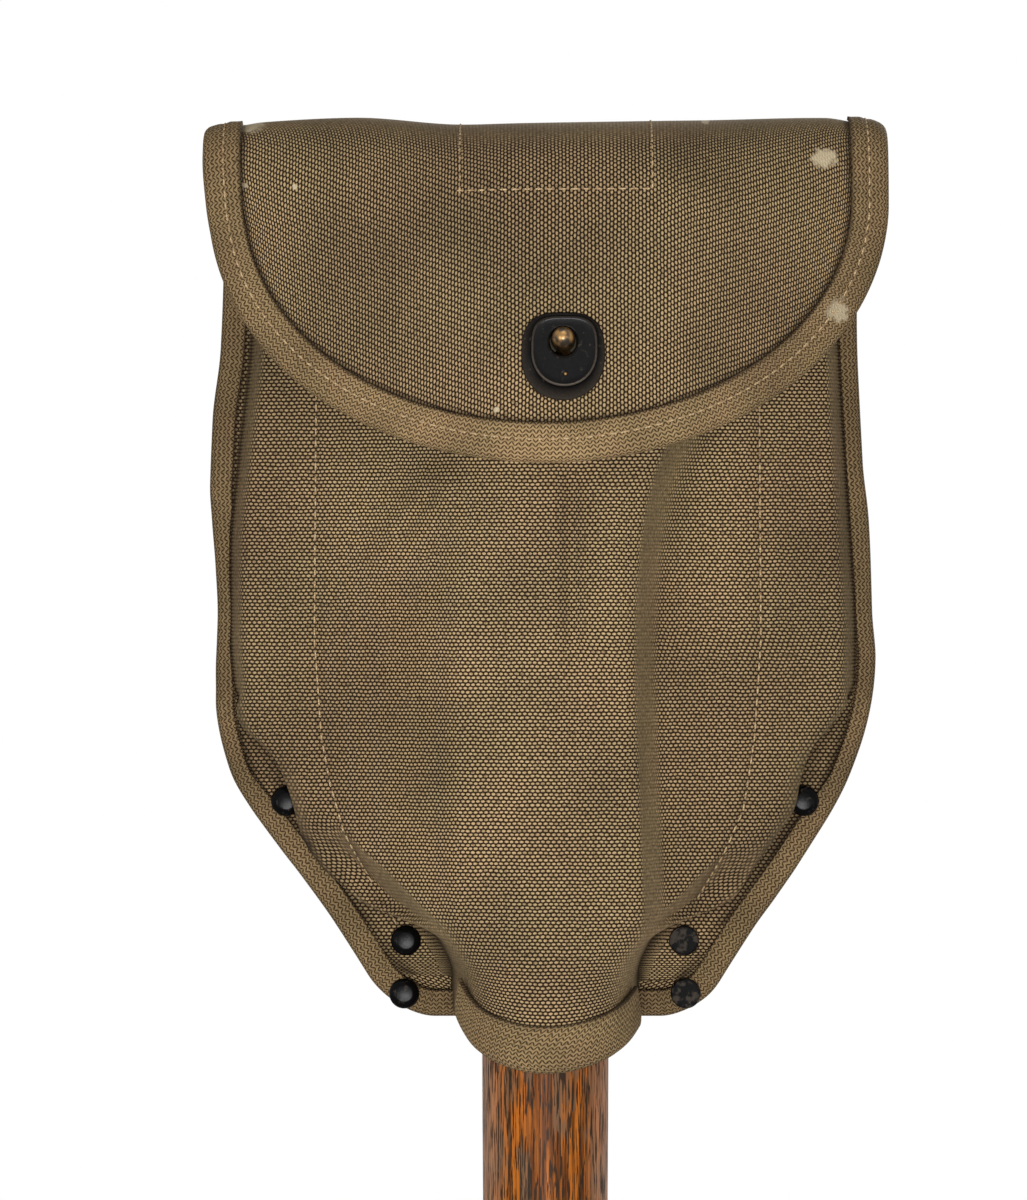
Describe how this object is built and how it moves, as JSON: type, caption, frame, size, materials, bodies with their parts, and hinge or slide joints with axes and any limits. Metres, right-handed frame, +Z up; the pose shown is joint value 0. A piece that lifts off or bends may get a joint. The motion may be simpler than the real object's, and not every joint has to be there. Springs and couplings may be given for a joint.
{
  "type": "camp shovel",
  "caption": "Folding camp shovel stowed folded in a canvas belt carrier: the flap snaps shut over the blade, the wooden haft hangs out below, and a wire hook hangs it on a belt.",
  "frame": {"origin": "seat of the belt hook, where a belt's lower edge bears, midway between the two wire legs", "axes": "+Z up along the haft towards the flap, -Y out of the front face with the snap, +X to the right as seen from the front"},
  "size_m": [0.1808, 0.0852, 0.5158],
  "materials": {
    "olive_canvas": "olive drab plain-weave cotton canvas, worn",
    "twill_tape": "olive cotton twill tape and webbing",
    "black_japan": "black japan, semi-gloss",
    "painted_steel": "dark olive paint over steel, worn",
    "aged_brass": "aged brass",
    "varnished_ash": "varnished open-grained hardwood"
  },
  "bodies": {
    "carrier": {"back_panel": "olive_canvas", "front_panel": "olive_canvas", "front_lining": "olive_canvas", "side_binding_left": "twill_tape", "side_binding_right": "twill_tape", "bottom_binding": "twill_tape", "mouth_binding": "twill_tape", "loop_binding": "twill_tape", "carrier_rivet_left_1": "black_japan", "carrier_rivet_left_2": "black_japan", "carrier_rivet_left_3": "black_japan", "carrier_rivet_right_1": "black_japan", "carrier_rivet_right_2": "black_japan", "carrier_rivet_right_3": "black_japan", "snap_stud": "aged_brass", "stud_washer": "aged_brass", "hanger_tab": "twill_tape", "hanger_hook": "painted_steel"},
    "shovel": {"blade": "painted_steel", "hinge_bracket": "painted_steel", "blade_rivet_1": "painted_steel", "blade_rivet_2": "painted_steel", "blade_rivet_3": "painted_steel", "blade_rivet_4": "painted_steel", "hinge_pin": "painted_steel", "handle_socket": "painted_steel", "handle": "varnished_ash", "cross_pin": "painted_steel"},
    "lock_nut": {"lock_nut": "painted_steel"},
    "flap": {"flap": "olive_canvas", "flap_binding": "twill_tape", "flap_patch": "olive_canvas", "socket_plate": "black_japan", "socket_clinch": "black_japan", "socket_spring": "painted_steel"}
  },
  "joints": [
    {"name": "flap_open", "type": "hinge", "parent": "carrier", "child": "flap", "pos_m": [0, -0.00995, 0.02925], "axis": [-1, 0, 0], "range_deg": [0, 170], "deforming": ["socket_spring"]},
    {"name": "shovel_draw", "type": "slide", "parent": "carrier", "child": "shovel", "axis": [0, 0, 1], "range_m": [0, 0.52], "deforming": ["flap", "flap_patch"]},
    {"name": "lock_nut_turn", "type": "hinge", "parent": "shovel", "child": "lock_nut", "pos_m": [0, -0.0406, -0.0123], "axis": [0, 0, -1], "range_deg": [0, 540]}
  ]
}
